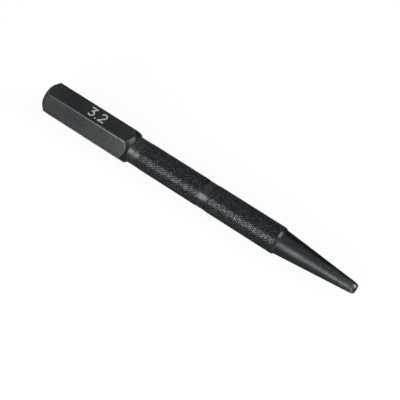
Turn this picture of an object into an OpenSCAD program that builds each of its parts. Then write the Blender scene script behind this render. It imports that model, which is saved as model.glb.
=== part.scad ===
// Nail set: a hexagonal striking head, a knurled round grip and a smooth taper with a cupped tip.
// It lies along X on one flat of its head, striking face towards -X and tip towards +X.
// The origin is on the surface below the middle of the tool. Sizes are in millimetres.

/* [Head] */
// Width of the head across its flats
head_flats = 9.25; // [8.6:0.05:14]
// Length of the head, from the striking face to the foot of the neck cone
head_len = 29.8; // [20:0.1:45]
// Depth turned off the head's long corners
corner_break = 0.1; // [0.02:0.01:0.3]
// Diameter of the flat striking face
face_d = 7.25; // [4:0.05:8.5]
// Angle between the axis and the bevel round the striking face
face_bevel_angle = 45; // [30:1:60]
// Angle between the axis and the cone from the head down to the neck
neck_cone_angle = 40; // [20:0.5:60]

/* [Grip] */
// Diameter of the smooth neck next to the head
neck_d = 7.9; // [5:0.05:8.5]
// Length of the neck
neck_len = 3.3; // [1:0.1:12]
// Diameter over the crests of the knurl
knurl_d = 8.05; // [5:0.05:8.5]
// Length of the knurled stretch next to the neck
upper_knurl_len = 20.2; // [5:0.1:40]
// Length of the knurled stretch next to the taper
lower_knurl_len = 21.9; // [5:0.1:40]
// Length of the slope where a knurl runs out to the bare bar
runout_len = 0.25; // [0.1:0.05:1]
// Diameter of the bare band between the knurled stretches
band_d = 7.88; // [5:0.02:8.5]
// Length of the bare band
band_len = 2.4; // [1:0.1:15]

/* [Taper] */
// Length of the shoulder from the knurl down to the taper
shoulder_len = 0.8; // [0.3:0.1:4]
// Diameter of the thick end of the taper
taper_d = 7.25; // [4:0.05:8]
// Length of the taper, from the shoulder to the bevel of the tip
taper_len = 22.8; // [8:0.1:60]
// Diameter of the thin end of the taper
tip_d = 3.15; // [2.5:0.05:3.9]
// Length of the bevel round the tip
tip_bevel_len = 0.6; // [0.2:0.05:1.5]
// Diameter of the tip's end face
tip_face_d = 2.45; // [2:0.05:2.5]
// Diameter of the cup's mouth in the end face
cup_d = 1.7; // [0.8:0.05:1.9]
// Depth of the cup
cup_depth = 0.4; // [0.1:0.05:0.8]

/* [Size number] */
// Height of the digits, measured across the flat
digit_h = 3.2; // [2:0.1:4.2]
// Width of a digit
digit_w = 2; // [1.5:0.1:2.4]
// Width of the strokes
stroke_w = 0.42; // [0.2:0.02:0.6]
// Clear space between neighbouring digits and the point
digit_gap = 0.6; // [0.3:0.1:1.5]
// Depth of the stamped number
mark_depth = 0.12; // [0.05:0.01:0.3]
// Height that the paint in the number stands above the flat
paint_proud = 0.03; // [0.01:0.01:0.1]
// Distance from the foot of the neck cone to the middle of the number
mark_from_neck = 13; // [7:0.1:14]

/* [Hidden] */
$fn = 96;
// Reach of a cut past the surface that it opens
overrun = 1;

// Hexagon and cones of the head
side_count = 6;
side_angle = 360 / side_count;
corner_r = head_flats / 2 / cos(side_angle / 2);
head_r = corner_r - corner_break;
face_bevel_len = (head_r - face_d / 2) / tan(face_bevel_angle);
neck_cone_len = (head_r - neck_d / 2) / tan(neck_cone_angle);

// Stations along the axis, from the striking face
neck_end = head_len + neck_len;
band_start = neck_end + upper_knurl_len;
band_end = band_start + band_len;
knurl_end = band_end + lower_knurl_len;
taper_start = knurl_end + shoulder_len;
taper_end = taper_start + taper_len;
total_len = taper_end + tip_bevel_len;

// Sphere that leaves a cup of the given mouth and depth
cup_r = (pow(cup_d / 2, 2) + pow(cup_depth, 2)) / (2 * cup_depth);

// Number: radius of a digit's bowl along the middle of its stroke, and the width of the whole number
bowl_r = (digit_w - stroke_w) / 2;
point_w = stroke_w;
number_w = 2 * digit_w + point_w + 2 * digit_gap;
arc_steps = 24;
// Angles round the bowls: ends of the lower and the upper bowl, and where the slanted stroke lands
three_start = -150;
three_landing = 105;
three_end = 117;
two_end = 165;

// Half outline of the bar as turned: distance from the axis, then station
function turned_outline() = [
    [0, 0],
    [face_d / 2, 0],
    [head_r, face_bevel_len],
    [head_r, head_len - neck_cone_len],
    [neck_d / 2, head_len],
    [neck_d / 2, neck_end],
    [knurl_d / 2, neck_end + runout_len],
    [knurl_d / 2, band_start - runout_len],
    [band_d / 2, band_start],
    [band_d / 2, band_end],
    [knurl_d / 2, band_end + runout_len],
    [knurl_d / 2, knurl_end],
    [taper_d / 2, taper_start],
    [tip_d / 2, taper_end],
    [tip_face_d / 2, total_len],
    [0, total_len]
];

// Points along a circular arc about the origin
function arc(r, from, to) =
    [for (i = [0 : arc_steps]) let (a = from + (to - from) * i / arc_steps) r * [cos(a), sin(a)]];

// Curved stroke of a bowl between two angles
module bowl_stroke(from, to) {
    polygon(concat(arc(bowl_r + stroke_w / 2, from, to), arc(bowl_r - stroke_w / 2, to, from)));
}

// Straight stroke between two points of its middle line
module bar_stroke(from, to) {
    run = to - from;
    translate(from)
        rotate(atan2(run.y, run.x))
            translate([0, -stroke_w / 2])
                square([norm(run), stroke_w]);
}

// Digit with a flat top, a slanted stroke and a round lower bowl
module digit_three() {
    centre = [digit_w / 2, bowl_r + stroke_w / 2];
    top = digit_h - stroke_w / 2;
    landing = centre + bowl_r * [cos(three_landing), sin(three_landing)];
    translate(centre)
        bowl_stroke(three_start, three_end);
    bar_stroke([0, top], [digit_w, top]);
    bar_stroke(landing, [digit_w - stroke_w / 2, top]);
}

// Digit with a round upper bowl, a slanted stroke and a flat foot
module digit_two() {
    centre = [digit_w / 2, digit_h - bowl_r - stroke_w / 2];
    foot = stroke_w / 2;
    heel = [foot, foot];
    reach = heel - centre;
    tangent = atan2(reach.y, reach.x) + acos(bowl_r / norm(reach));
    translate(centre)
        bowl_stroke(tangent, two_end);
    bar_stroke(centre + bowl_r * [cos(tangent), sin(tangent)], heel);
    bar_stroke([0, foot], [digit_w, foot]);
}

// The tip's size in millimetres, with its middle at the origin
module number_outline() {
    translate([-number_w / 2, -digit_h / 2]) {
        digit_three();
        translate([digit_w + digit_gap, 0])
            square([point_w, stroke_w]);
        translate([digit_w + point_w + 2 * digit_gap, 0])
            digit_two();
    }
}

// The number as a block that starts at the floor of the stamping
module number_block(height) {
    translate([head_len - mark_from_neck, 0, head_flats / 2 - mark_depth])
        linear_extrude(height)
            number_outline();
}

// Everything outside the head's flats, which clears the thinner grip and taper
module outside_flats() {
    for (i = [0 : side_count - 1])
        rotate([i * side_angle, 0, 0])
            translate([-overrun, -corner_r, head_flats / 2])
                cube([total_len + 2 * overrun, 2 * corner_r, corner_r]);
}

// Turns a shape drawn from the striking face along +X into the lying tool's place
module lay_down() {
    translate([-total_len / 2, 0, head_flats / 2])
        children();
}

module punch() {
    color("#2c2e2e")
        lay_down()
            difference() {
                rotate([0, 90, 0])
                    rotate_extrude()
                        polygon(turned_outline());
                outside_flats();
                translate([total_len + cup_r - cup_depth, 0, 0])
                    sphere(r = cup_r);
                number_block(mark_depth + overrun);
            }
}

module size_mark() {
    color("#b6b7b0")
        lay_down()
            number_block(mark_depth + paint_proud);
}

punch();
size_mark();
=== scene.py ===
"""Nail set: one blackened steel bar with a hexagonal head, a knurled grip and a cupped tip.

Its size is a painted number on the head's upper flat.
"""

import math
from collections import namedtuple

import bmesh
import bpy
from mathutils import Matrix, Vector


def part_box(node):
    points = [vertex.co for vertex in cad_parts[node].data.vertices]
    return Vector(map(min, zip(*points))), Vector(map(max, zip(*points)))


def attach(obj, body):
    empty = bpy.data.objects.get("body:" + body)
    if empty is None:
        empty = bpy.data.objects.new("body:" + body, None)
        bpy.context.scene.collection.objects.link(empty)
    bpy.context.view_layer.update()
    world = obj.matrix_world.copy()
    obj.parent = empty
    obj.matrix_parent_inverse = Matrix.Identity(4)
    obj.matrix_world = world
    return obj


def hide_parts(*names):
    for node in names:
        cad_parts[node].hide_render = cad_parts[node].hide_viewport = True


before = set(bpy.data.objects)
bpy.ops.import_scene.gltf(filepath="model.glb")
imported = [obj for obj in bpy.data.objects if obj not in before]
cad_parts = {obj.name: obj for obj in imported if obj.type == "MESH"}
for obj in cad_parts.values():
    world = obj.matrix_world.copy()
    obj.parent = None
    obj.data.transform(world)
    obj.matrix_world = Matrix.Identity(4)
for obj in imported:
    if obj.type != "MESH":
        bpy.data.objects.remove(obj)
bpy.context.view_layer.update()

bl_info = {
    "name": "Nail Set",
    "version": (1, 0, 0),
    "blender": (4, 5, 0),
    "location": "3D View > Sidebar > Nail Set",
    "description": "Models a blackened steel nail set with a knurled grip, and a pale stage to show it on",
    "category": "Mesh",
}

MM = 0.001

# The bar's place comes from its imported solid: it lies along X, with its striking face at the low end
BAR_LOW, BAR_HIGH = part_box("punch")
BAR_START = BAR_LOW.x
BAR_AXIS = Vector((0, (BAR_LOW.y + BAR_HIGH.y) / 2, (BAR_LOW.z + BAR_HIGH.z) / 2))

# The hexagon of the head
SIDES = 6
SIDE_ANGLE = 2 * math.pi / SIDES

# Mesh columns and rows to half a diamond of the knurl, and to a whole one
KNURL_STEPS = 3
DIAMOND_STEPS = 2 * KNURL_STEPS
# The head keeps one in so many of the mesh columns, so that the rounds of its edges have room
HEAD_COLUMN_STEP = 3
# An edge runs along a mesh column if its middle is nearer to it than this share of their spacing
COLUMN_SHARE = 0.25
# Segments of the rounds on the turned corners and on the edges of the flats, and rings of the cup
CORNER_SEGMENTS, EDGE_SEGMENTS, CUP_STEPS = 4, 3, 8
# Rings this close to the ends of the smooth stretches keep their shading straight
HOLD = 0.3 * MM
MERGE_DISTANCE = 0.001 * MM
# Edges that turn by more than this are shaded as sharp
SHARP_ANGLE = math.radians(22)

# A face with more corners than this is one of the head's flats
FLAT_CORNERS = 20
# How far below the head's radius a point still counts as on its long corners: a share of the corner break
# before the edges of the flats are rounded, and a share of the edge round after it
CORNER_BREAK_SHARE, EDGE_ROUND_SHARE = 0.5, 0.25

# Share of the oxide that is rubbed off the knurl, the neck and the band, the shoulder and the striking end
CREST_WEAR, BARE_WEAR, SHOULDER_WEAR, FACE_WEAR = 0.5, 0.1, 0.2, 0.5
# The same for the bevel of the tip and its end face
TIP_WEAR, TIP_FACE_WEAR = 1, 0.1
# The same for the edges of the flats, next to the striking face and next to the neck, and the power of the
# distance by which it grows
EDGE_WEAR_FACE, EDGE_WEAR_NECK, EDGE_WEAR_POWER = 0, 0.44, 2

# The bevel of the tip is rubbed from just before it. From there the wear dies out along the taper,
# starting at a share of the bevel's
TIP_WEAR_START = 0.2 * MM
TIP_WEAR_LENGTH = 10 * MM
TAPER_WEAR_SHARE = 0.2

# How much smoother the neck, the band and the bevel of the tip are rubbed than the rest of the bar
NECK_POLISH, BAND_POLISH, TIP_POLISH = 0.06, 0.11, 0.08
# How much duller the taper gets towards the tip
TAPER_DULLING = 0.06

# Mesh attributes: oxide rubbed off, oil and dirt with painted shade in the hollows, and how much smoother it
# is rubbed
Layers = namedtuple("Layers", "wear soot polish")
# End of a knurled stretch: its station, the bare bar's radius and polish there, and the run-out's length
KnurlEnd = namedtuple("KnurlEnd", "station radius polish runout")

# Order of the bar's materials
MILLED, TURNED, KNURLED = range(3)

# Sockets of a Mix node that blends colours
MIX_SHARE, MIX_FIRST, MIX_SECOND, MIX_RESULT = 0, 6, 7, 2
# Octaves of the noise that draws patches and cut marks, and how strong the finer octaves of the marks are
PATCH_DETAIL, MARKS_DETAIL, MARKS_ROUGHNESS = 3, 4, 0.6
# Stretches of that noise over which one tone of oxide turns into the other, marks get rougher and paint dulls
TONE_RANGE, MARKS_RANGE, DULL_RANGE = (0.15, 0.4), (0.3, 0.7), (0.4, 0.7)
# The oxide holds back part of the bright reflection that bare metal has at grazing angles
GRAZING_TINT = (0.5, 0.5, 0.5, 1)
# The paint's dull patches, the height of its unevenness, and its roughness
PAINT_PATCH_MM, PAINT_RELIEF_MM, PAINT_ROUGHNESS = 0.7, 0.01, 0.55

# A softbox: the direction to it as the camera sees it, its sides and its tint
Softbox = namedtuple("Softbox", "name direction width height tint")
# The left one lights the near side of the bar, and the right one what slopes to the tip
LEFT_SOFTBOX = Softbox("left_softbox", (-0.569, -0.215, 0.794), 450 * MM, 410 * MM, "#fffaee")
RIGHT_SOFTBOX = Softbox("right_softbox", (0.82, 0.2, 0.53), 420 * MM, 380 * MM, "#ffffff")
LIGHT_DISTANCE = 600 * MM
# The floor's reach from the origin, and the dark card's distance behind the tool, its ends and its height
FLOOR_REACH = 3000 * MM
CARD_DISTANCE = 600 * MM
CARD_LEFT, CARD_RIGHT, CARD_TOP = -120 * MM, 800 * MM, 620 * MM
WHITE = (1, 1, 1, 1)


def length(name, description, millimetres):
    """A size that the user can change, given in millimetres."""
    return bpy.props.FloatProperty(
        name=name, description=description, default=millimetres * MM, min=0, precision=5, unit="LENGTH"
    )


def angle(name, description, degrees):
    """An angle that the user can change, given in degrees."""
    return bpy.props.FloatProperty(
        name=name, description=description, default=math.radians(degrees), subtype="ANGLE"
    )


def linear(hex_code):
    """Linear colour from an sRGB hex value."""
    channels = [int(hex_code[i:i + 2], 16) / 255 for i in (1, 3, 5)]
    return [c / 12.92 if c <= 0.04045 else ((c + 0.055) / 1.055) ** 2.4 for c in channels] + [1]


def colour(name, description, hex_code):
    """A colour that the user can change, given as an sRGB hex value."""
    return bpy.props.FloatVectorProperty(
        name=name, description=description, default=linear(hex_code), size=4, min=0, max=1, subtype="COLOR"
    )


class NailSetBar(bpy.types.PropertyGroup):
    """Sizes of the bar, apart from those of its knurl."""

    head_flats: length(
        "Head across flats", "Width of the head across its flats", (BAR_HIGH.z - BAR_LOW.z) / MM
    )
    head_length: length("Head length", "From the striking face to the foot of the neck cone", 29.8)
    corner_break: length("Corner break", "Depth turned off the head's long corners", 0.1)
    face_diameter: length("Face diameter", "Flat striking face inside its bevel", 7.25)
    face_bevel: angle("Face bevel", "Between the axis and the bevel round the striking face", 45)
    neck_cone: angle("Neck cone", "Between the axis and the cone from the head to the neck", 40)
    neck_diameter: length("Neck diameter", "Smooth neck next to the head", 7.9)
    neck_length: length("Neck length", "From the foot of the cone to the knurl", 3.3)
    band_diameter: length("Band diameter", "Bare band between the knurled stretches", 7.88)
    band_length: length("Band length", "Bare band between the knurled stretches", 2.4)
    shoulder_length: length("Shoulder length", "From the knurl down to the taper", 0.8)
    taper_diameter: length("Taper diameter", "Thick end of the taper", 7.25)
    tip_diameter: length("Tip diameter", "Thin end of the taper", 3.15)
    tip_bevel_length: length("Tip bevel", "Length of the bevel round the tip", 0.6)
    tip_face_diameter: length("Tip face", "End face of the tip", 2.45)
    cup_diameter: length("Cup diameter", "Mouth of the cup in the tip's end face", 1.7)
    cup_depth: length("Cup depth", "Depth of the cup", 0.4)
    edge_round: length("Edge round", "Width of the worn round on the edges of the flats", 0.12)
    corner_round: length("Corner round", "Width of the round on the turned corners", 0.1)
    tip_worn_back: length(
        "Tip worn back", "How far use has worn the bevel of the tip back along the taper", 0.15
    )
    tip_round: length("Tip round", "Width of the worn round between the taper and the bevel of the tip", 0.35)


class NailSetKnurl(bpy.types.PropertyGroup):
    """Sizes of the diamond knurl on the grip."""

    diameter: length("Knurl diameter", "Over the crests", 8.05)
    upper_length: length("Upper length", "Knurled stretch next to the neck", 20.2)
    lower_length: length("Lower length", "Knurled stretch next to the taper", 21.9)
    diamonds: bpy.props.IntProperty(
        name="Diamonds", description="Diamonds once round the grip, a multiple of 3", default=42,
        min=6, step=3
    )
    groove_angle: angle("Groove angle", "Between the axis and the grooves", 30)
    depth: length("Depth", "From the crests to the bottom of the grooves", 0.06)
    groove_width: length("Groove width", "Across the mouth of a groove", 0.13)
    crown: length("Crown", "How far the tops of the diamonds fall away to the grooves", 0.008)
    runout: length("Run-out", "Slope where the knurl ends on the bare bar", 0.9)
    shoulder_runout: length("Shoulder run-out", "Where the grooves end at the shoulder", 0.15)


class NailSetFinish(bpy.types.PropertyGroup):
    """Colours of the steel and the paint."""

    oxide: colour("Black oxide", "Blackened steel", "#24282c")
    oxide_light: colour("Thin oxide", "Where the oxide is thinner", "#2f3333")
    oxide_bronze: colour("Bronze oxide", "Thinner oxide of the flats", "#303331")
    oxide_worn: colour("Worn oxide", "Rubbed edges and tip", "#686a67")
    oxide_crest: colour("Crest oxide", "Rubbed crests of the knurl", "#52585a")
    # Darkens the bottoms of the knurl's grooves and the cup: partly oil and dirt, partly painted shade
    oxide_thick: colour("Thick oxide", "Darker patches of the knurl", "#191c1e")
    soot: colour("Soot", "Oil and dirt in the grooves of the knurl and in the cup", "#181a1b")
    paint: colour("Paint", "Paint in the size number", "#a8a9a1")
    paint_dirty: colour("Handled paint", "Where the paint has dulled", "#8d8e84")


class NailSetStage(bpy.types.PropertyGroup):
    """Camera and surroundings."""

    floor: colour("Floor", "Pale floor", "#ffffff")
    card: colour("Card", "Dark card behind the tip, out of the picture", "#101112")
    floor_glow: bpy.props.FloatProperty(
        name="Floor glow", description="Share of the floor's shadow that is lifted to white", default=0.94,
        min=0, max=1, subtype="FACTOR"
    )
    fill: bpy.props.FloatProperty(
        name="Fill", description="Strength of the light from all round", default=0.05, min=0
    )
    left: bpy.props.FloatProperty(
        name="Left", description="Radiance of the left softbox", default=8.8, min=0
    )
    right: bpy.props.FloatProperty(
        name="Right", description="Radiance of the right softbox", default=6.5, min=0
    )
    azimuth: angle("Azimuth", "Turn of the camera round the tool", 27.15)
    elevation: angle("Elevation", "Height of the camera above the horizon", 53.53)
    roll: angle("Roll", "Turn of the camera about its own line of sight", 10.04)
    distance: length("Distance", "From the camera to the point that it aims at", 333.4)
    lens: bpy.props.FloatProperty(
        name="Lens", description="Focal length on a 36 mm sensor", default=110.87, min=1, unit="CAMERA"
    )
    aim: bpy.props.FloatVectorProperty(
        name="Aim", description="Point that the camera aims at", default=(2.28 * MM, -1.4 * MM, 2.95 * MM),
        precision=5, subtype="TRANSLATION", unit="LENGTH"
    )


def finished_object(name, mesh_builder, materials):
    """Turn a bmesh into an object at the origin with its materials."""
    mesh = bpy.data.meshes.new(name)
    mesh_builder.to_mesh(mesh)
    mesh_builder.free()
    made = bpy.data.objects.new(name, mesh)
    bpy.context.scene.collection.objects.link(made)
    for material in materials:
        mesh.materials.append(material)
    return made


def add_node(tree, kind, inputs=None, **settings):
    """Add a node, set its options, and set or link its inputs."""
    made = tree.nodes.new(kind)
    for name, value in settings.items():
        setattr(made, name, value)
    for key, value in (inputs or {}).items():
        if isinstance(value, bpy.types.NodeSocket):
            tree.links.new(value, made.inputs[key])
        else:
            made.inputs[key].default_value = value
    return made


def empty_material(name):
    """A material whose node tree is still bare."""
    material = bpy.data.materials.new(name)
    material.use_nodes = True
    material.node_tree.nodes.clear()
    return material, material.node_tree


def per_metre(millimetres):
    """Texture scale whose pattern repeats about once in a real size."""
    return 1 / (millimetres * MM)


def blackened_steel(
    name, finish, second_tone, worn_tone, bare_range, speckle_mm, mottle_mm, marks_mm, marks_depth_mm,
    roughness, unevenness
):
    """Black oxide on tool steel, which looks near black and satin, with cut marks and a faint mottle."""
    material, tree = empty_material(name)
    place = add_node(tree, "ShaderNodeTexCoord").outputs["Object"]

    # Cut marks, with their size along each axis
    stretched = add_node(
        tree, "ShaderNodeMapping", {"Vector": place, "Scale": [per_metre(size) for size in marks_mm]}
    ).outputs["Vector"]
    marks = add_node(
        tree, "ShaderNodeTexNoise",
        {"Vector": stretched, "Scale": 1, "Detail": MARKS_DETAIL, "Roughness": MARKS_ROUGHNESS}
    ).outputs["Fac"]

    # Mottle of the oxide bath, and the speckle of its crystals. Real crystals are a few thousandths of a
    # millimetre wide, so the speckle is drawn far coarser, to show
    mottle = add_node(
        tree, "ShaderNodeTexNoise", {"Vector": place, "Scale": per_metre(mottle_mm), "Detail": PATCH_DETAIL}
    ).outputs["Fac"]
    speckle = add_node(
        tree, "ShaderNodeTexNoise", {"Vector": place, "Scale": per_metre(speckle_mm), "Detail": PATCH_DETAIL}
    ).outputs["Fac"]
    blend = add_node(
        tree, "ShaderNodeMath", {0: mottle, 1: speckle}, operation="MULTIPLY"
    ).outputs["Value"]
    second_share = add_node(
        tree, "ShaderNodeMapRange", {"Value": blend, "From Min": TONE_RANGE[0], "From Max": TONE_RANGE[1]}
    ).outputs["Result"]
    oxide = add_node(
        tree, "ShaderNodeMix",
        {MIX_SHARE: second_share, MIX_FIRST: finish.oxide[:], MIX_SECOND: second_tone[:]}, data_type="RGBA"
    ).outputs[MIX_RESULT]

    # Rubbed edges and crests, broken up by the speckle, and over them dirt and painted shade in the grooves
    # and the cup
    wear = add_node(tree, "ShaderNodeAttribute", attribute_name="wear").outputs["Fac"]
    bare = add_node(
        tree, "ShaderNodeMapRange", {"Value": speckle, "From Min": bare_range[0], "From Max": bare_range[1]}
    ).outputs["Result"]
    rubbed = add_node(tree, "ShaderNodeMath", {0: wear, 1: bare}, operation="MULTIPLY").outputs["Value"]
    worn = add_node(
        tree, "ShaderNodeMix",
        {MIX_SHARE: rubbed, MIX_FIRST: oxide, MIX_SECOND: worn_tone[:]}, data_type="RGBA"
    ).outputs[MIX_RESULT]
    soot = add_node(tree, "ShaderNodeAttribute", attribute_name="soot").outputs["Fac"]
    shown = add_node(
        tree, "ShaderNodeMix",
        {MIX_SHARE: soot, MIX_FIRST: worn, MIX_SECOND: finish.soot[:]}, data_type="RGBA"
    ).outputs[MIX_RESULT]

    # Gloss, which the cut marks make uneven and handling makes smoother
    cut_gloss = add_node(
        tree, "ShaderNodeMapRange",
        {"Value": marks, "From Min": MARKS_RANGE[0], "From Max": MARKS_RANGE[1],
         "To Min": roughness - unevenness, "To Max": roughness + unevenness}
    ).outputs["Result"]
    polish = add_node(tree, "ShaderNodeAttribute", attribute_name="polish").outputs["Fac"]
    gloss = add_node(
        tree, "ShaderNodeMath", {0: cut_gloss, 1: polish}, operation="SUBTRACT"
    ).outputs["Value"]
    relief = add_node(
        tree, "ShaderNodeBump", {"Height": marks, "Strength": 1, "Distance": marks_depth_mm * MM}
    ).outputs["Normal"]
    shader = add_node(
        tree, "ShaderNodeBsdfPrincipled",
        {"Base Color": shown, "Metallic": 1, "Roughness": gloss, "Normal": relief,
         "Specular Tint": GRAZING_TINT}
    )
    add_node(tree, "ShaderNodeOutputMaterial", {"Surface": shader.outputs["BSDF"]})
    return material


def milled_steel(finish):
    """Blackened flats off a milling cutter, which look even, with a bronze cast and long faint marks."""
    return blackened_steel(
        "black_oxide_milled", finish, second_tone=finish.oxide_bronze, worn_tone=finish.oxide_worn,
        bare_range=(0.3, 0.55), speckle_mm=0.7, mottle_mm=9, marks_mm=(6, 0.3, 0.3), marks_depth_mm=0.0006,
        roughness=0.28, unevenness=0.01
    )


def turned_steel(finish):
    """Blackened steel off a lathe, which looks duller and cloudy, with fine rings round the bar."""
    return blackened_steel(
        "black_oxide_turned", finish, second_tone=finish.oxide_light, worn_tone=finish.oxide_worn,
        bare_range=(0.3, 0.6), speckle_mm=0.7, mottle_mm=4, marks_mm=(0.15, 4, 4), marks_depth_mm=0.002,
        roughness=0.38, unevenness=0.05
    )


def knurled_steel(finish):
    """Blackened steel pressed by knurling wheels, whose rubbed crests look speckled between dark grooves."""
    # The grain of the pressed steel is finer than its marks here, which are drawn coarser, to show
    return blackened_steel(
        "black_oxide_knurled", finish, second_tone=finish.oxide_thick, worn_tone=finish.oxide_crest,
        bare_range=(0.5, 0.6), speckle_mm=0.45, mottle_mm=2, marks_mm=(0.3, 0.3, 0.3), marks_depth_mm=0.004,
        roughness=0.34, unevenness=0.05
    )


def enamel_paint(finish):
    """Enamel wiped into the stamping, which looks dull and a little patchy."""
    material, tree = empty_material("enamel_paint")
    place = add_node(tree, "ShaderNodeTexCoord").outputs["Object"]
    patches = add_node(
        tree, "ShaderNodeTexNoise",
        {"Vector": place, "Scale": per_metre(PAINT_PATCH_MM), "Detail": PATCH_DETAIL}
    ).outputs["Fac"]
    dulled = add_node(
        tree, "ShaderNodeMapRange", {"Value": patches, "From Min": DULL_RANGE[0], "From Max": DULL_RANGE[1]}
    ).outputs["Result"]
    shown = add_node(
        tree, "ShaderNodeMix",
        {MIX_SHARE: dulled, MIX_FIRST: finish.paint[:], MIX_SECOND: finish.paint_dirty[:]}, data_type="RGBA"
    ).outputs[MIX_RESULT]
    relief = add_node(
        tree, "ShaderNodeBump", {"Height": patches, "Strength": 1, "Distance": PAINT_RELIEF_MM * MM}
    ).outputs["Normal"]
    shader = add_node(
        tree, "ShaderNodeBsdfPrincipled",
        {"Base Color": shown, "Roughness": PAINT_ROUGHNESS, "Normal": relief}
    )
    add_node(tree, "ShaderNodeOutputMaterial", {"Surface": shader.outputs["BSDF"]})
    return material


def head_radius(bar):
    """Half the width of the head across its broken corners."""
    return bar.head_flats / 2 / math.cos(SIDE_ANGLE / 2) - bar.corner_break


def stations(bar, knurl):
    """Places along the bar, measured from the striking face."""
    neck_end = bar.head_length + bar.neck_length
    band_start = neck_end + knurl.upper_length
    band_end = band_start + bar.band_length
    knurl_end = band_end + knurl.lower_length
    return neck_end, band_start, band_end, knurl_end


def mesh_columns(knurl):
    """Number of mesh columns once round the bar."""
    return knurl.diamonds * DIAMOND_STEPS


def knurl_rows(start, end, knurl):
    """Evenly spaced rows along a knurled stretch, close to the spacing that the groove angle asks for."""
    column = math.pi * knurl.diameter / mesh_columns(knurl)
    count = round((end - start) / (column / math.tan(knurl.groove_angle)))
    return [start + (end - start) * row / count for row in range(count + 1)]


def turned_outline(bar, knurl):
    """Half outline of the turned bar as (station, radius), its corners to round, and those worn rounder."""
    corner_radius = head_radius(bar)
    neck_radius, band_radius = bar.neck_diameter / 2, bar.band_diameter / 2
    neck_end, band_start, band_end, knurl_end = stations(bar, knurl)
    total = BAR_HIGH.x - BAR_LOW.x

    # Head, from the middle of the striking face to the foot of the neck cone
    face_rim = (0, bar.face_diameter / 2)
    bevel_end = (corner_radius - bar.face_diameter / 2) / math.tan(bar.face_bevel)
    cone_start = bar.head_length - (corner_radius - neck_radius) / math.tan(bar.neck_cone)
    cone_foot = (bar.head_length, neck_radius)
    head = [(0, 0), face_rim, (bevel_end, corner_radius), (cone_start, corner_radius), cone_foot]

    # Grip, still without its knurl
    grip = [(x, neck_radius) for x in (bar.head_length + HOLD, neck_end - HOLD)]
    grip += [(x, neck_radius) for x in knurl_rows(neck_end, band_start, knurl)]
    grip += [(x, band_radius) for x in (band_start + HOLD, band_end - HOLD)]
    grip += [(x, band_radius) for x in knurl_rows(band_end, knurl_end, knurl)]

    # Taper, by distance from where its bevel would start unworn
    taper_start, taper_end = knurl_end + bar.shoulder_length, total - bar.tip_bevel_length
    slope = (bar.taper_diameter - bar.tip_diameter) / 2 / (taper_end - taper_start)
    before_round = bar.tip_worn_back + bar.tip_round + HOLD
    taper = [(taper_start, bar.taper_diameter / 2)]
    for to_end in (taper_end - taper_start - HOLD, TIP_WEAR_LENGTH, before_round, bar.tip_worn_back):
        taper.append((taper_end - to_end, bar.tip_diameter / 2 + slope * to_end))

    # End face, and the cup as an arc from its mouth to the axis
    end_rim = (total, bar.tip_face_diameter / 2)
    cup_radius = ((bar.cup_diameter / 2) ** 2 + bar.cup_depth ** 2) / (2 * bar.cup_depth)
    cup_angle = math.asin(bar.cup_diameter / 2 / cup_radius)
    cup = []
    for step in range(CUP_STEPS + 1):
        turn = cup_angle * (1 - step / CUP_STEPS)
        cup.append((total - bar.cup_depth + cup_radius * (1 - math.cos(turn)), cup_radius * math.sin(turn)))
    outline = head + grip + taper + [end_rim] + cup
    rounded = [face_rim, cone_foot, taper[0], end_rim]
    worn = [taper[-1]]
    return outline, rounded, worn


def turn_bar(builder, bar, knurl):
    """Round the corners of the half outline and spin it once round the axis."""
    outline, rounded, worn = turned_outline(bar, knurl)
    points = [builder.verts.new(BAR_AXIS + Vector((BAR_START + x, radius, 0))) for x, radius in outline]
    for first, second in zip(points, points[1:]):
        builder.edges.new((first, second))
    corners = [point for point, place in zip(points, outline) if place in rounded]
    worn_corners = [point for point, place in zip(points, outline) if place in worn]
    for group, size in ((corners, bar.corner_round), (worn_corners, bar.tip_round)):
        bmesh.ops.bevel(
            builder, geom=group, offset=size, offset_type="OFFSET", segments=CORNER_SEGMENTS,
            profile=0.5, affect="VERTICES", clamp_overlap=True, material=-1
        )
    bmesh.ops.spin(
        builder, geom=builder.verts[:] + builder.edges[:], cent=BAR_AXIS, axis=(1, 0, 0), angle=2 * math.pi,
        steps=mesh_columns(knurl), use_merge=True
    )
    bmesh.ops.remove_doubles(builder, verts=builder.verts[:], dist=MERGE_DISTANCE)


def thin_head(builder, bar, knurl):
    """Take out most of the mesh lines that run along the head."""
    foot = BAR_START + bar.head_length - bar.corner_round
    column_angle = 2 * math.pi / mesh_columns(knurl)
    spare = []
    for edge in builder.edges:
        middle = (edge.verts[0].co + edge.verts[1].co) / 2 - BAR_AXIS
        column = math.atan2(middle.z, middle.y) / column_angle
        on_column = abs(column - round(column)) < COLUMN_SHARE
        if middle.x < foot and on_column and round(column) % HEAD_COLUMN_STEP:
            spare.append(edge)
    bmesh.ops.dissolve_edges(builder, edges=spare, use_verts=True)


def sort_finishes(builder, bar, knurl):
    """Give the turned and the knurled surfaces their materials."""
    neck_end, band_start, band_end, knurl_end = stations(bar, knurl)
    for face in builder.faces:
        station = face.calc_center_median().x - BAR_START
        knurled = neck_end < station < band_start or band_end < station < knurl_end
        face.material_index = KNURLED if knurled else TURNED


def is_flat(face):
    """Whether a face is one of the head's flats."""
    return len(face.verts) > FLAT_CORNERS


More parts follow.
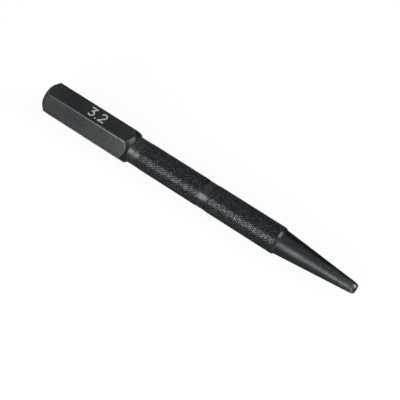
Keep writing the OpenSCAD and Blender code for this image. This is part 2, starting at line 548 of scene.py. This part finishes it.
def mill_flats(builder, bar):
    """Cut the head's flats, close them and round their edges. Returns the faces of the rounds."""
    flats = []
    # A corner of the hexagon points along Y, so the flats face half a side further round
    for side in range(SIDES):
        turn = SIDE_ANGLE * (side + 0.5)
        outward = Vector((0, math.cos(turn), math.sin(turn)))
        cut = bmesh.ops.bisect_plane(
            builder, geom=builder.verts[:] + builder.edges[:] + builder.faces[:],
            plane_co=BAR_AXIS + outward * bar.head_flats / 2, plane_no=outward, clear_outer=True
        )
        edges = [part for part in cut["geom_cut"] if isinstance(part, bmesh.types.BMEdge)]
        flats += bmesh.ops.contextual_create(builder, geom=edges)["faces"]
    bmesh.ops.recalc_face_normals(builder, faces=builder.faces[:])

    # The edges of the flats, and the short arcs that join them at the ends of the long corners
    flat_edges = {edge for face in flats for edge in face.edges}
    corner_reach = head_radius(bar) - bar.corner_break * CORNER_BREAK_SHARE
    edges = []
    for edge in builder.edges:
        ends = [vert.co - BAR_AXIS for vert in edge.verts]
        on_corner = all(end.yz.length > corner_reach for end in ends)
        is_arc = on_corner and abs(ends[0].x - ends[1].x) < MERGE_DISTANCE
        if is_arc or edge in flat_edges:
            edges.append(edge)
    rounds = bmesh.ops.bevel(
        builder, geom=edges, offset=bar.edge_round, offset_type="OFFSET", segments=EDGE_SEGMENTS,
        profile=0.5, affect="EDGES", clamp_overlap=False, material=-1
    )["faces"]
    for face in rounds + [face for face in builder.faces if is_flat(face)]:
        face.material_index = MILLED
    return rounds


def rub_head(builder, bar, rounds, layers):
    """Wear the edges of the flats, more towards the neck, and the striking end."""
    rounds = set(rounds)
    corner_reach = head_radius(bar) - bar.edge_round * EDGE_ROUND_SHARE
    for vert in builder.verts:
        if any(is_flat(face) for face in vert.link_faces):
            continue
        on_corner = (vert.co - BAR_AXIS).yz.length > corner_reach
        if on_corner or rounds.issuperset(vert.link_faces):
            share = ((vert.co.x - BAR_START) / bar.head_length) ** EDGE_WEAR_POWER
            vert[layers.wear] = EDGE_WEAR_FACE + (EDGE_WEAR_NECK - EDGE_WEAR_FACE) * share
        elif vert.co.x < BAR_START + bar.head_length / 2:
            vert[layers.wear] = FACE_WEAR


def rub_turned(builder, bar, knurl, layers):
    """Wear and polish the tip, the taper, the band, the neck and the shoulder, and darken the cup with dirt
    and painted shade.
    """
    neck_end, band_start, band_end, knurl_end = stations(bar, knurl)
    bevel_start = BAR_HIGH.x - bar.tip_bevel_length - bar.tip_worn_back
    for vert in builder.verts:
        station = vert.co.x - BAR_START
        to_bevel = bevel_start - vert.co.x
        if to_bevel < TIP_WEAR_START:
            on_end = vert.co.x > BAR_HIGH.x - bar.corner_round
            in_cup = (vert.co - BAR_AXIS).yz.length < bar.cup_diameter / 2 - MERGE_DISTANCE
            vert[layers.wear] = TIP_FACE_WEAR if on_end else TIP_WEAR
            vert[layers.polish] = TIP_POLISH
            # The cup is darkened: partly dirt, partly painted shade in the hollow
            vert[layers.soot] = 1 if in_cup else 0
        elif to_bevel < TIP_WEAR_LENGTH:
            share = 1 - to_bevel / TIP_WEAR_LENGTH
            vert[layers.wear] = TIP_WEAR * TAPER_WEAR_SHARE * share
            vert[layers.polish] = -TAPER_DULLING * share
        elif band_start < station < band_end:
            vert[layers.wear] = BARE_WEAR
            vert[layers.polish] = BAND_POLISH
        elif bar.head_length < station < neck_end - MERGE_DISTANCE:
            vert[layers.wear] = BARE_WEAR
            vert[layers.polish] = NECK_POLISH
        elif knurl_end < station < knurl_end + bar.shoulder_length:
            vert[layers.wear] = SHOULDER_WEAR


def cut_knurl(builder, first, last, knurl, layers):
    """Raise the diamonds of one knurled stretch, between its two ends, out of the bare bar."""
    start, end = first.station, last.station
    rows = knurl_rows(start, end, knurl)
    row_length = rows[1] - rows[0]
    column_angle = 2 * math.pi / mesh_columns(knurl)
    # How far below the crests the bottom of a groove, its mouth and the mesh lines further off lie
    drops = [knurl.depth, knurl.crown] + [0] * (KNURL_STEPS - 1)
    # The mesh lines next to a groove move in to its mouth, and those further off spread out evenly
    groove_spacing = math.pi * knurl.diameter / knurl.diamonds * math.cos(knurl.groove_angle)
    mouth = DIAMOND_STEPS * knurl.groove_width / 2 / groove_spacing
    spread = (KNURL_STEPS - mouth) / (KNURL_STEPS - 1)
    bottoms, mouths = [], []
    for vert in builder.verts:
        station = vert.co.x - BAR_START
        if not start - MERGE_DISTANCE <= station <= end + MERGE_DISTANCE:
            continue
        spoke = vert.co - BAR_AXIS
        turn = math.atan2(spoke.z, spoke.y)
        row = round((station - start) / row_length)
        column = round(turn / column_angle)
        # Steps to the nearest groove of either hand
        steps = [(line + KNURL_STEPS) % DIAMOND_STEPS - KNURL_STEPS for line in (column + row, column - row)]
        moves = [
            math.copysign(mouth + (abs(step) - 1) * spread, step) - step if step else 0 for step in steps
        ]
        to_groove = min(abs(step) for step in steps)
        if to_groove == 0:
            bottoms.append(vert)
        elif to_groove == 1:
            mouths.append(vert)
        # Near its ends the knurl fades into the bare bar
        near = min((first, last), key=lambda bare: abs(station - bare.station) / bare.runout)
        fade = min(1, abs(station - near.station) / near.runout)
        shaped = knurl.diameter / 2 - drops[to_groove]
        radius = near.radius + (shaped - near.radius) * fade
        turn += column_angle * fade * (moves[0] + moves[1]) / 2
        along = row_length * fade * (moves[0] - moves[1]) / 2
        vert.co = BAR_AXIS + Vector((vert.co.x + along, radius * math.cos(turn), radius * math.sin(turn)))
        rubbed = CREST_WEAR if to_groove else 0
        vert[layers.wear] = BARE_WEAR + (rubbed - BARE_WEAR) * fade
        # The bottoms of the grooves are darkened as the knurl fades in: partly oil and dirt, partly painted
        # shade
        vert[layers.soot] = 0 if to_groove else fade
        vert[layers.polish] = near.polish * (1 - fade)
    for line in (bottoms, mouths):
        bmesh.ops.connect_verts(builder, verts=line)


def knurl_grip(builder, bar, knurl, layers):
    """Knurl both stretches of the grip, next to the neck and next to the taper."""
    neck_end, band_start, band_end, knurl_end = stations(bar, knurl)
    at_neck = KnurlEnd(neck_end, bar.neck_diameter / 2, NECK_POLISH, knurl.runout)
    before_band = KnurlEnd(band_start, bar.band_diameter / 2, BAND_POLISH, knurl.runout)
    after_band = KnurlEnd(band_end, bar.band_diameter / 2, BAND_POLISH, knurl.runout)
    at_shoulder = KnurlEnd(knurl_end, knurl.diameter / 2, 0, knurl.shoulder_runout)
    cut_knurl(builder, at_neck, before_band, knurl, layers)
    cut_knurl(builder, after_band, at_shoulder, knurl, layers)


class NAILSET_OT_bar(bpy.types.Operator):
    """Model the bar: turned outline, milled flats and knurled grip"""

    bl_idname = "nail_set.bar"
    bl_label = "Bar"

    def execute(self, context):
        bar = context.scene.nail_set_bar
        knurl = context.scene.nail_set_knurl
        finish = context.scene.nail_set_finish
        builder = bmesh.new()
        layers = Layers(*[builder.verts.layers.float.new(name) for name in Layers._fields])
        turn_bar(builder, bar, knurl)
        thin_head(builder, bar, knurl)
        sort_finishes(builder, bar, knurl)
        rounds = mill_flats(builder, bar)
        rub_head(builder, bar, rounds, layers)
        rub_turned(builder, bar, knurl, layers)
        knurl_grip(builder, bar, knurl, layers)
        bmesh.ops.recalc_face_normals(builder, faces=builder.faces[:])
        for face in builder.faces:
            face.smooth = True
        steels = [milled_steel(finish), turned_steel(finish), knurled_steel(finish)]
        made = finished_object("nail_set_bar", builder, steels)
        made.data.set_sharp_from_angle(angle=SHARP_ANGLE)
        weighted = made.modifiers.new("even_flats", "WEIGHTED_NORMAL")
        weighted.keep_sharp = True
        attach(made, "root")
        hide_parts("punch")
        return {"FINISHED"}


class NAILSET_OT_size_number(bpy.types.Operator):
    """Paint the size number"""

    bl_idname = "nail_set.size_number"
    bl_label = "Size number"

    def execute(self, context):
        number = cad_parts["size_mark"]
        number.data.materials.clear()
        number.data.materials.append(enamel_paint(context.scene.nail_set_finish))
        return {"FINISHED"}


def seen_rays(tree):
    """One for rays of the camera, and for those that a metal or a glass sends on, and nought for the rest."""
    path = add_node(tree, "ShaderNodeLightPath").outputs
    seen = add_node(
        tree, "ShaderNodeMath", {0: path["Is Camera Ray"], 1: path["Is Glossy Ray"]}, operation="ADD"
    ).outputs["Value"]
    return add_node(
        tree, "ShaderNodeMath", {0: seen, 1: path["Is Transmission Ray"]}, operation="ADD", use_clamp=True
    ).outputs["Value"]


def lay_floor(stage):
    """Paper floor, which the camera and reflections see near white, and which keeps a faint shadow."""
    material, tree = empty_material("pale_floor")
    paper = add_node(tree, "ShaderNodeBsdfDiffuse", {"Color": stage.floor[:]}).outputs["BSDF"]
    glow = add_node(tree, "ShaderNodeEmission", {"Color": stage.floor[:], "Strength": 1}).outputs["Emission"]
    share = add_node(
        tree, "ShaderNodeMath", {0: seen_rays(tree), 1: stage.floor_glow}, operation="MULTIPLY"
    ).outputs["Value"]
    both = add_node(tree, "ShaderNodeMixShader", {0: share, 1: paper, 2: glow}).outputs["Shader"]
    add_node(tree, "ShaderNodeOutputMaterial", {"Surface": both})
    builder = bmesh.new()
    bmesh.ops.create_grid(builder, x_segments=1, y_segments=1, size=FLOOR_REACH)
    floor = finished_object("floor", builder, [material])


def fill_world(stage):
    """World that is white where it is seen, and dimmer as a light."""
    world = bpy.data.worlds.new("studio")
    bpy.context.scene.world = world
    world.use_nodes = True
    tree = world.node_tree
    tree.nodes.clear()
    fill = add_node(
        tree, "ShaderNodeBackground", {"Color": WHITE, "Strength": stage.fill}
    ).outputs["Background"]
    white = add_node(
        tree, "ShaderNodeBackground", {"Color": WHITE, "Strength": 1}
    ).outputs["Background"]
    both = add_node(tree, "ShaderNodeMixShader", {0: seen_rays(tree), 1: fill, 2: white}).outputs["Shader"]
    add_node(tree, "ShaderNodeOutputWorld", {"Surface": both})


def place_camera(stage):
    """Camera at its viewing angle. Returns its axes as the columns of a matrix."""
    azimuth, elevation, roll = stage.azimuth, stage.elevation, stage.roll
    level = Vector((math.cos(azimuth), math.sin(azimuth), 0))
    back = Vector((
        math.sin(azimuth) * math.cos(elevation), -math.cos(azimuth) * math.cos(elevation), math.sin(elevation)
    ))
    right = level * math.cos(roll) + back.cross(level) * math.sin(roll)
    view = Matrix((right, back.cross(right), back)).transposed()
    lens = bpy.data.cameras.new("camera")
    lens.lens = stage.lens
    camera = bpy.data.objects.new("camera", lens)
    camera.matrix_world = Matrix.Translation(Vector(stage.aim) + back * stage.distance) @ view.to_4x4()
    bpy.context.scene.collection.objects.link(camera)
    bpy.context.scene.camera = camera
    return view


def stand_card(stage):
    """Dark upright card behind the tip, out of the picture, which the taper mirrors as a dark rim."""
    material, tree = empty_material("black_card")
    black = add_node(tree, "ShaderNodeBsdfDiffuse", {"Color": stage.card[:]}).outputs["BSDF"]
    add_node(tree, "ShaderNodeOutputMaterial", {"Surface": black})
    builder = bmesh.new()
    outline = ((CARD_LEFT, 0), (CARD_RIGHT, 0), (CARD_RIGHT, CARD_TOP), (CARD_LEFT, CARD_TOP))
    builder.faces.new([builder.verts.new((x, CARD_DISTANCE, z)) for x, z in outline])
    card = finished_object("black_card", builder, [material])
    card.visible_camera = card.visible_diffuse = card.visible_shadow = False


def hang_softbox(softbox, view, radiance):
    """Soft light that faces the tool, level with the camera's frame."""
    facing = view @ Vector(softbox.direction).normalized()
    level = (view.col[0] - facing * view.col[0].dot(facing)).normalized()
    lamp = bpy.data.lights.new(softbox.name, "AREA")
    lamp.shape = "RECTANGLE"
    lamp.size = softbox.width
    lamp.size_y = softbox.height
    lamp.energy = radiance * softbox.width * softbox.height * math.pi
    lamp.color = linear(softbox.tint)[:3]
    made = bpy.data.objects.new(softbox.name, lamp)
    turn = Matrix((level, facing.cross(level), facing)).transposed().to_4x4()
    made.matrix_world = Matrix.Translation(facing * LIGHT_DISTANCE) @ turn
    made.visible_camera = False
    bpy.context.scene.collection.objects.link(made)


class NAILSET_OT_stage(bpy.types.Operator):
    """Set the pale floor, the studio light and the camera"""

    bl_idname = "nail_set.stage"
    bl_label = "Stage"

    def execute(self, context):
        stage = context.scene.nail_set_stage
        context.scene.view_settings.view_transform = "Standard"
        lay_floor(stage)
        fill_world(stage)
        view = place_camera(stage)
        stand_card(stage)
        hang_softbox(LEFT_SOFTBOX, view, stage.left)
        hang_softbox(RIGHT_SOFTBOX, view, stage.right)
        return {"FINISHED"}


class NAILSET_PT_panel(bpy.types.Panel):
    """Sizes, finishes and steps of the nail set"""

    bl_label = "Nail Set"
    bl_space_type = "VIEW_3D"
    bl_region_type = "UI"
    bl_category = "Nail Set"

    def draw(self, context):
        for group in GROUPS:
            settings = getattr(context.scene, group)
            box = self.layout.box()
            for name in settings.__annotations__:
                box.prop(settings, name)
        for step in STEPS:
            self.layout.operator(step.bl_idname)


GROUPS = {
    "nail_set_bar": NailSetBar,
    "nail_set_knurl": NailSetKnurl,
    "nail_set_finish": NailSetFinish,
    "nail_set_stage": NailSetStage,
}
STEPS = (NAILSET_OT_bar, NAILSET_OT_size_number, NAILSET_OT_stage)


def register():
    for kind in (*GROUPS.values(), *STEPS, NAILSET_PT_panel):
        bpy.utils.register_class(kind)
    for name, group in GROUPS.items():
        setattr(bpy.types.Scene, name, bpy.props.PointerProperty(type=group))


def unregister():
    for name in GROUPS:
        delattr(bpy.types.Scene, name)
    for kind in (NAILSET_PT_panel, *STEPS, *GROUPS.values()):
        bpy.utils.unregister_class(kind)


def main():
    register()
    bpy.ops.nail_set.bar()
    bpy.ops.nail_set.size_number()
    bpy.ops.nail_set.stage()


if __name__ == "__main__":
    main()
